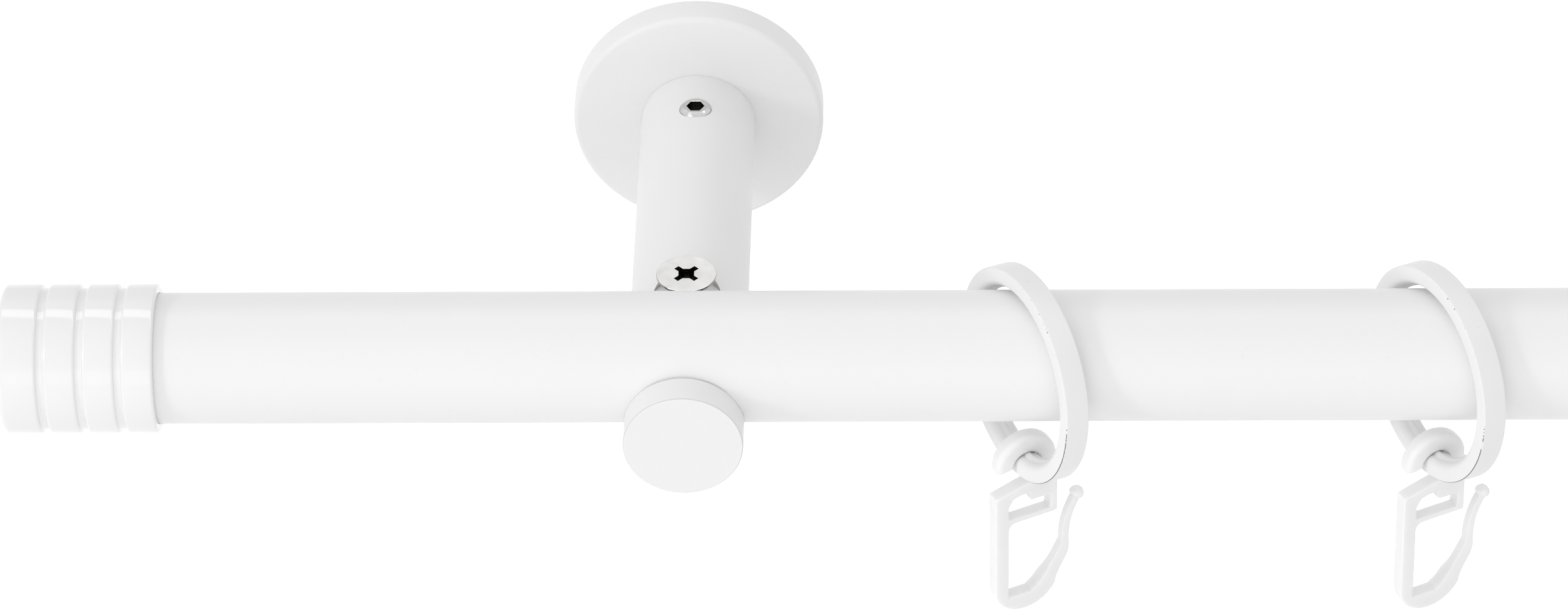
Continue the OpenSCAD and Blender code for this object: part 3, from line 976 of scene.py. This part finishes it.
@dataclass
class RingRow:
    """The rings, swept round their circle."""

    count: int = 6
    mid_radius: float = 15.5
    wall: float = 3.0
    width: float = 3.9
    edge_round: float = 0.3
    bore_round: float = 1.2
    bulge: float = 0.5
    turn: float = 27.5
    lean: float = 3.3
    steps: int = 240
    wear: tuple[Triple, ...] = ((-42.0, 52.0, 1.3), (66.0, 34.0, 0.4), (0.0, 24.0, 0.2))

    @property
    def heading(self) -> Triple:
        """Turns of a ring from flat to its resting place, in radians."""
        return (0.0, radians(90 + self.lean), radians(self.turn))

    def centre(self, index: int) -> Vector:
        """Centre of a ring, in metres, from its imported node."""
        low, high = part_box(f"ring_{index}")
        return (low + high) / 2

    def section(self) -> Object:
        """Outline of a ring's section as a loop of edges, with its bore on the side of low X."""
        w, h = self.wall / 2, self.width / 2
        points = rounded([(-w, -h, self.bore_round), (w, -h, self.edge_round), (w, h, self.edge_round),
                          (-w, h, self.bore_round)], 8)
        flat = h - self.bore_round
        points += [(-w - self.bulge * cos(pi / 2 * t) ** 1.5, -flat * t) for t in (-0.85, -0.5, 0.0, 0.5, 0.85)]
        mesh = bpy.data.meshes.new("ring_section")
        mesh.from_pydata([(x * MM, y * MM, 0) for x, y in points],
                         [(index, (index + 1) % len(points)) for index in range(len(points))], [])
        return add_object("ring_section", mesh)

    def tree(self) -> NodeTree:
        """Geometry tree that sweeps a section round a circle."""
        graph = Graph("ring_sweep")
        section, radius, steps, place, turn, finish = graph.inputs(
            Section="Object", Radius="Float", Steps="Int", Place="Vector", Turn="Vector", Finish="Material")
        circle = graph.node("CurvePrimitiveCircle", {"Resolution": steps, "Radius": radius})
        drawn = graph.node("ObjectInfo", {"Object": section})
        outline = graph.node("MeshToCurve", {"Mesh": drawn.outputs["Geometry"]})
        swept = graph.node("CurveToMesh", {"Curve": circle.outputs[0], "Profile Curve": outline.outputs[0]})
        moved = graph.node("Transform", {"Geometry": swept.outputs[0], "Translation": place, "Rotation": turn})
        return graph.finish(moved.outputs[0], finish)

    def mark_edges(self, ring: Object, centre: Vector) -> None:
        """Stores how near each point is to an outer edge of the ring's section, for the wear.

        Args:
            ring: The swept ring.
            centre: Its centre, in metres.
        """
        axis = turned(self.turn, "Z", 3) @ turned(90 + self.lean, "Y", 3) @ Vector((0, 0, 1))
        if axis.x < 0:
            axis.negate()
        towards = Vector((sin(radians(self.turn)), -cos(radians(self.turn)), 0))
        edge = ring.data.attributes.new("edge", "FLOAT", "POINT")
        rub = ring.data.attributes.new("rub", "FLOAT", "POINT")
        for vertex in ring.data.vertices:
            away = vertex.co - centre
            side = -away.dot(axis) / MM
            flat = away - axis * away.dot(axis)
            inset = max(self.width / 2 - side, self.wall / 2 - flat.length / MM + self.mid_radius)
            edge.data[vertex.index].value = max(0.0, 1 - inset / (self.edge_round + 0.02))
            turn = degrees(atan2(flat.z, flat.dot(towards)))
            rub.data[vertex.index].value = max(self.rubbed(turn - at, reach) * most
                                               for at, reach, most in self.wear)

    @staticmethod
    def rubbed(turn: float, reach: float) -> float:
        """Share of the wear at an angle from the middle of a worn stretch, fading out at its reach; degrees."""
        return max(0.0, cos(pi / 2 * min(1.0, abs(turn) / reach))) ** 0.5

    def build(self, finishes: Finishes) -> None:
        """Makes the rings."""
        section, tree = self.section(), self.tree()
        for index in range(1, self.count + 1):
            centre = self.centre(index)
            ring = Graph.grow(tree, f"rod_ring_{index}", Section=section, Radius=self.mid_radius * MM,
                              Steps=self.steps, Place=centre, Turn=self.heading, Finish=finishes.ring)
            self.mark_edges(ring, centre)
            shade(ring, 60)
            hand_over(ring, f"ring_{index}", "ring_white", f"ring_{index}")
        discard(section)


@dataclass
class HookRow:
    """The clip-on hooks, one moulding hung on every ring."""

    rings: RingRow
    shift: float = 1.5
    clip_radius: float = 2.43
    clip_wall: float = 2.78
    clip_hug: float = 0.3
    clip_width: float = 2.8
    clip_round: float = 0.9
    clip_from: float = -35.0
    clip_to: float = 182.0
    tip: float = 0.9
    frame_depth: float = 2.4
    crossbar_depth: float = 2.1
    crossbar_height: float = 0.9
    crossbar_drop: float = 10.5
    crossbar_low: float = 0.6
    fillet: float = 1.2
    overlap: float = 0.3
    back_x: float = 5.4
    back_width: float = 2.3
    drop: float = 28.6
    foot_height: float = 2.9
    foot_x: float = -0.3
    foot_radius: float = 6.0
    foot_end: float = 335.0
    foot_land: float = 1.75
    foot_in: float = 1.97
    corner_radius: float = 5.05
    flange_x: float = 5.3
    flange_width: float = 1.2
    shoulder: float = -5.46
    shoulder_low: float = -10.0
    neck: Point = (-1.4, -4.36)
    neck_top: float = -3.36
    head_low: float = -0.6
    window: tuple[Point, ...] = ((0.9, -7.5), (0.4, -7.0), (0.4, -6.0), (-1.0, -6.0), (-2.3, -6.4))
    window_foot: float = -7.7
    spring_widths: tuple[Point, ...] = ((0, 2.9), (0.1, 2.85), (0.32, 2.15), (0.48, 2.05), (0.6, 1.3), (1, 1.2))
    spring_depths: tuple[Point, ...] = ((0, 2.38), (0.17, 2.38), (0.4, 1.6), (1, 1.35))
    root: tuple[float, float, int] = (296, 332, 8)
    pulls: tuple[Point, ...] = ((0.9, 1.7), (0.45, 2.6), (-0.05, 2.2), (2.1, 3.4))
    waist_at: Point = (7.0, 10.2)
    knob: float = 2.4
    knob_at: Point = (9.2, 18.6)
    grain: float = 0.11

    def frame_outlines(self) -> list[list[Point]]:
        """Outlines of the back leg with its foot, and of the shoulders with the flange."""
        back, back_in = -self.back_x, self.back_width - self.back_x
        foot = (self.foot_x, self.foot_radius - self.drop)
        corner = (self.corner_radius - self.back_x, self.corner_radius - self.drop)
        turn, land = radians(self.foot_end), self.foot_radius - self.foot_land
        low, top = -self.crossbar_drop - self.crossbar_height / 2, self.foot_height - self.drop
        leg = [(back, self.shoulder)] + arc(corner, self.corner_radius, 180, 270, 24)
        leg += arc(foot, self.foot_radius, 270, self.foot_end, 24)[1:]
        leg += [(foot[0] + land * cos(turn), foot[1] + land * sin(turn)), (self.foot_in, top), (back_in, top),
                (back_in, self.shoulder)]
        flange_in = self.flange_x - self.flange_width
        head = [(self.clip_radius + 0.3, self.neck_top), (self.clip_radius + 0.1, self.head_low),
                (self.flange_x, self.head_low), (self.flange_x, low), (flange_in, low),
                (flange_in, self.window[0][1])]
        shoulders = [(back, self.shoulder), self.neck, *head, *self.window, (back_in, self.window_foot),
                     (back_in, self.shoulder_low), (back, self.shoulder_low)]
        return [leg, shoulders]

    def spring(self, steps: int = 48) -> Object:
        """The free leg, which narrows and thins to its waist and ends at the knob."""

        def bezier(points: Sequence[Vector], t: float) -> Vector:
            """A point along a cubic curve."""
            a, b, c, d = points
            return a * (1 - t) ** 3 + b * 3 * t * (1 - t) ** 2 + c * 3 * t * t * (1 - t) + d * t ** 3

        def along(stops: Sequence[Point], t: float) -> float:
            """A value between stops."""
            for (t0, v0), (t1, v1) in zip(stops, stops[1:]):
                if t <= t1:
                    share = (t - t0) / (t1 - t0)
                    return v0 + (v1 - v0) * share * share * (3 - 2 * share)
            return stops[-1][1]

        up = Vector((0, -self.drop))
        first, last, bend_steps = self.root
        bend = [Vector(point) for point in arc((self.foot_x, self.foot_radius - self.drop),
                                               self.foot_radius - self.foot_height / 2, first, last, bend_steps)]
        foot, waist, knob = bend[-1], Vector(self.waist_at) + up, Vector(self.knob_at) + up
        out, under, over, end = (Vector(pull) for pull in self.pulls)
        low, high = [foot, foot + out, waist - under, waist], [waist, waist + over, knob - end, knob]
        half = (steps - bend_steps) // 2
        line = bend[:-1] + [bezier(low, k / half) for k in range(half)]
        line += [bezier(high, k / half) for k in range(half + 1)]
        loops = []
        for index, point in enumerate(line):
            run = (line[min(index + 1, steps)] - line[max(index - 1, 0)]).normalized()
            across, t = Vector((-run.y, run.x)), index / steps
            w, d = along(self.spring_widths, t) / 2, along(self.spring_depths, t) / 2
            loops.append([Vector((point.x + across.x * x * w, -y * d, point.y + across.y * x * w))
                          for x, y in ((-1, -1), (1, -1), (1, 1), (-1, 1))])
        return sweep("part", loops)

    def arm(self, steps: int = 72) -> Object:
        """The clip's plump arm round the ring, close over the ring and rounded at its free tip."""
        h, corner = self.clip_width / 2, self.clip_round
        outer = self.clip_radius + self.clip_wall
        reach = self.clip_to - self.clip_from
        stops = [(self.clip_from + reach * step / steps, 1.0) for step in range(steps + 1)]
        ahead = degrees(self.tip / outer)
        stops += [(self.clip_to + ahead * sin(t), cos(t)) for t in (pi / 2 * k / 8 for k in range(1, 8))]
        loops = []
        for turn, scale in stops:
            hug = self.clip_hug * max(0.0, sin(radians(min(180.0, max(0.0, turn)))))
            w = (self.clip_wall + hug) / 2
            section = rounded([(-w, -h, corner * 0.5), (w, -h, corner), (w, h, corner), (-w, h, corner * 0.5)], 6)
            t = radians(turn)
            loops.append([Vector(((outer - w + x * scale) * cos(t), y * scale,
                                  (outer - w + x * scale) * sin(t))) for x, y in section])
        return sweep("part", loops)

    def moulding(self) -> Object:
        """Makes one hook about its clip's centre, in its own plane, with soft moulded edges."""
        upright = turned(90, "X")
        parts = [prism("part", outline, self.frame_depth, upright) for outline in self.frame_outlines()]
        low, back_in = -self.crossbar_drop - self.crossbar_low, self.back_width - self.back_x
        lap = self.overlap
        bar_in, bar_out, bar_top = back_in - 1, self.flange_x - lap, low + self.crossbar_height
        bar = [(bar_in, low), (bar_out, low), (bar_out, bar_top), (bar_in, bar_top)]
        forward = Matrix.Translation((0, (self.crossbar_depth - self.frame_depth) / 2, 0))
        parts.append(prism("part", bar, self.crossbar_depth, forward @ upright))
        fillet = [(back_in - 0.5, low + lap), (back_in - 0.5, low - self.fillet)]
        fillet += arc((back_in + self.fillet, low - self.fillet), self.fillet, 180, 90, 10)
        fillet.append((back_in + self.fillet, low + lap))
        parts.append(prism("part", fillet, self.crossbar_depth, forward @ upright))
        parts += [self.spring(), self.arm()]
        r, neck, belly = self.knob / 2, -0.35, 0.05
        head = rounded([(0, neck, 0), (r, neck, 0.3), (r, belly, 0)], 5) + arc((0, belly), r, 5, 90, 16)
        (x, z), (along_x, along_z) = self.knob_at, self.pulls[-1]
        knob_at = Vector((x, 0, z - self.drop)) * MM
        parts.append(lathe("part", head, knob_at, Vector((along_x, 0, along_z)), 48))
        hook = parts[0]
        for part in parts[1:]:
            combine(hook, part, Cut.ADD)
        remesh = hook.modifiers.new("grain", "REMESH")
        remesh.mode, remesh.voxel_size = "VOXEL", self.grain * MM
        smooth = hook.modifiers.new("soft", "SMOOTH")
        smooth.factor, smooth.iterations = 0.5, 8
        return settle(hook)

    def tree(self) -> NodeTree:
        """Geometry tree that hangs a copy of the moulding on a ring."""
        graph = Graph("hook_hanger")
        moulding, place, turn, finish = graph.inputs(
            Moulding="Object", Place="Vector", Turn="Vector", Finish="Material")
        pattern = graph.node("ObjectInfo", {"Object": moulding, "As Instance": True})
        hung = graph.node("Transform", {"Geometry": pattern.outputs["Geometry"], "Translation": place,
                                        "Rotation": turn})
        return graph.finish(hung.outputs[0], finish)

    def build(self, finishes: Finishes) -> None:
        """Makes the hooks."""
        pattern, tree = self.moulding(), self.tree()
        rings = self.rings
        below, lean = sqrt(rings.mid_radius ** 2 - self.shift ** 2), radians(rings.lean)
        hang = turned(rings.turn, "Z", 3) @ Vector((-below * sin(lean), -self.shift, -below * cos(lean))) * MM
        for index in range(1, rings.count + 1):
            hook = Graph.grow(tree, f"curtain_hook_{index}", Moulding=pattern,
                              Place=rings.centre(index) + hang, Turn=(0.0, 0.0, radians(rings.turn)),
                              Finish=finishes.hook)
            hook.data.shade_smooth()
            hand_over(hook, f"hook_{index}", "hook_plastic", f"hook_{index}")
        discard(pattern)


# Studio


@dataclass
class Lamp:
    """A square or long soft box that looks at the object."""

    name: str
    place: Triple
    size: Point
    power: float
    aim: Triple = (-0.1, -0.05, 0.0)
    rays: str = "all"

    def build(self) -> None:
        """Hangs the lamp."""
        light = bpy.data.lights.new(self.name, "AREA")
        light.shape = "RECTANGLE"
        light.size, light.size_y = self.size
        light.energy = self.power
        lamp = add_object(self.name, light)
        lamp.location = self.place
        lamp.rotation_euler = (Vector(self.place) - Vector(self.aim)).to_track_quat("Z", "Y").to_euler()
        lamp.visible_camera = False
        lamp.visible_diffuse = self.rays != "gloss"
        lamp.visible_glossy = self.rays != "diffuse"


@dataclass
class Studio:
    """Camera, floor, lamps and surroundings."""

    azimuth: float = 1.85
    elevation: float = 37.27
    roll: float = 1.32
    distance: float = 1059.0
    lens: float = 160.0
    target: Triple = (-192.9, -69.231, 11.632)
    floor_z: float = -0.5
    floor_half: float = 30.0
    floor_tone: float = 0.8
    floor_glow: float = 0.5
    fill: float = 0.81

    def camera(self) -> None:
        """Sets up the camera."""
        a, e, roll = (radians(x) for x in (self.azimuth, self.elevation, self.roll))
        back = Vector((sin(a) * cos(e), -cos(a) * cos(e), sin(e)))
        level = Vector((cos(a), sin(a), 0))
        up = back.cross(level)
        right = level * cos(roll) - up * sin(roll)
        above = level * sin(roll) + up * cos(roll)
        data = bpy.data.cameras.new("view")
        data.lens, data.sensor_width, data.sensor_fit = self.lens, 36.0, "HORIZONTAL"
        data.clip_start, data.clip_end = 0.05, 60.0
        camera = add_object("view", data)
        place = (Vector(self.target) + back * self.distance) * MM
        camera.matrix_world = Matrix.Translation(place) @ Matrix((right, above, back)).transposed().to_4x4()
        bpy.context.scene.camera = camera

    @staticmethod
    def seen(web: Web) -> NodeSocket:
        """1 for rays that should meet the white background: from the camera, reflected or let through."""
        path = web.node("LightPath")
        total = path.outputs["Is Camera Ray"]
        for name in ("Is Glossy Ray", "Is Transmission Ray"):
            total = web.node("Math", {0: total, 1: path.outputs[name]}, operation="MAXIMUM").outputs[0]
        return total

    def world(self) -> None:
        """Sets up even surroundings, white where they are seen."""
        world = bpy.data.worlds.new("studio")
        bpy.context.scene.world = world
        world.use_nodes = True
        web = Web(world.node_tree)
        white = web.node("Background", {"Color": (1, 1, 1, 1), "Strength": 1.0})
        fill = web.node("Background", {"Color": (1, 1, 1, 1), "Strength": self.fill})
        mix = web.node("MixShader", {"Fac": self.seen(web), 1: fill.outputs[0], 2: white.outputs[0]})
        web.node("OutputWorld", {"Surface": mix.outputs[0]})

    def floor(self) -> None:
        """Lays a plain pale floor, white where it is seen and open from below."""
        half = self.floor_half
        mesh = bpy.data.meshes.new("floor")
        mesh.from_pydata([(x * half, y * half, self.floor_z) for x, y in ((-1, -1), (1, -1), (1, 1), (-1, 1))], [],
                         [(0, 1, 2, 3)])
        floor = add_object("floor", mesh)
        material = bpy.data.materials.new("floor")
        material.use_nodes = True
        web = Web(material.node_tree)
        pale = web.node("BsdfDiffuse", {"Color": (*grey(self.floor_tone), 1)})
        lift = web.node("Math", {0: self.seen(web), 1: self.floor_glow}, operation="MULTIPLY")
        glow = web.node("Emission", {"Strength": lift.outputs[0]})
        both = web.node("AddShader", {0: pale.outputs[0], 1: glow.outputs[0]})
        below, clear = web.node("NewGeometry"), web.node("BsdfTransparent")
        mix = web.node("MixShader", {"Fac": below.outputs["Backfacing"], 1: both.outputs[0], 2: clear.outputs[0]})
        web.node("OutputMaterial", {"Surface": mix.outputs[0]})
        mesh.materials.append(material)

    def lamps(self) -> Sequence[Lamp]:
        """The soft boxes."""
        return (
            Lamp("key", (-1.5, -1.3, 1.5), (1.0, 1.0), 1.9),
            Lamp("side", (-2.1, -1.0, 0.9), (0.35, 0.35), 7.0),
            Lamp("front", (0.2, -2.4, 0.35), (2.4, 1.0), 6.0),
            Lamp("low_front", (-0.6, -2.2, -0.2), (1.6, 0.8), 3.8, rays="diffuse"),
            Lamp("left", (-2.0, -0.9, 0.4), (1.0, 1.0), 1.4),
            Lamp("back", (0.0, 1.3, 1.6), (2.0, 0.8), 1.2),
            Lamp("overhead", (0.0, 0.3, 1.3), (2.6, 0.35), 7.5, rays="gloss"),
        )

    def build(self) -> None:
        """Sets up the whole studio."""
        bpy.context.scene.view_settings.view_transform = "Standard"
        self.camera()
        self.world()
        self.floor()
        for lamp in self.lamps():
            lamp.build()


def clear_start_up() -> None:
    """Removes whatever the start-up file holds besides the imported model."""
    kept = {o.name for o in frame["nodes"].values()} | {o.name for o in frame["bodies"].values()}
    for obj in list(bpy.data.objects):
        if obj.name not in kept:
            discard(obj)


def main() -> None:
    """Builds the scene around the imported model."""
    logging.basicConfig(level=logging.INFO, format="%(name)s: %(message)s")
    clear_start_up()
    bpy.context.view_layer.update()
    Studio().build()
    finishes = Finishes()
    RodTube().build(finishes)
    for side in Side:
        Finial(side).build(finishes)
        Bracket(side).build(finishes)
    rings = RingRow()
    rings.build(finishes)
    HookRow(rings).build(finishes)


if __name__ == "__main__":
    main()
